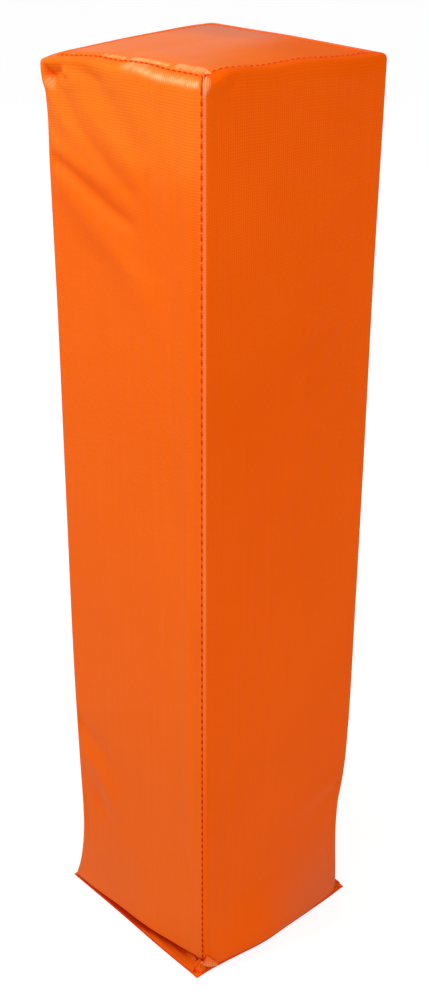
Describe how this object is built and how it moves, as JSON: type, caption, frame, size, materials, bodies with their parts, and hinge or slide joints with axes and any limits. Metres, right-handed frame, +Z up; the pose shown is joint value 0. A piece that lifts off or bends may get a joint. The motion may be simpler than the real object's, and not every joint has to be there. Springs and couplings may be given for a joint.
{
  "type": "football field pylon",
  "caption": "Tall square foam pylon in a sewn orange coated-cloth cover, with a sand weight bag inside and a wider flat base panel.",
  "frame": {"origin": "middle of the base panel's underside, on the surface that the pylon stands on", "axes": "+Z up along the pylon's height; the front corner, with the cover's vertical seam, points to +X -Y"},
  "size_m": [0.1078, 0.1078, 0.4572],
  "materials": {
    "cover_vinyl": "satin",
    "cover_thread": "matte",
    "foam": "matte",
    "bag_canvas": "matte",
    "bag_thread": "matte",
    "sand": "matte"
  },
  "bodies": {
    "root": {"base_panel": "cover_vinyl", "side_wrap": "cover_vinyl", "top_panel": "cover_vinyl", "corner_seam_thread": "cover_thread", "top_seam_thread": "cover_thread", "base_seam_thread": "cover_thread", "foam_core": "foam", "weight_bag_upper": "bag_canvas", "weight_bag_lower": "bag_canvas", "weight_bag_thread": "bag_thread", "sand_fill": "sand"}
  },
  "joints": []
}
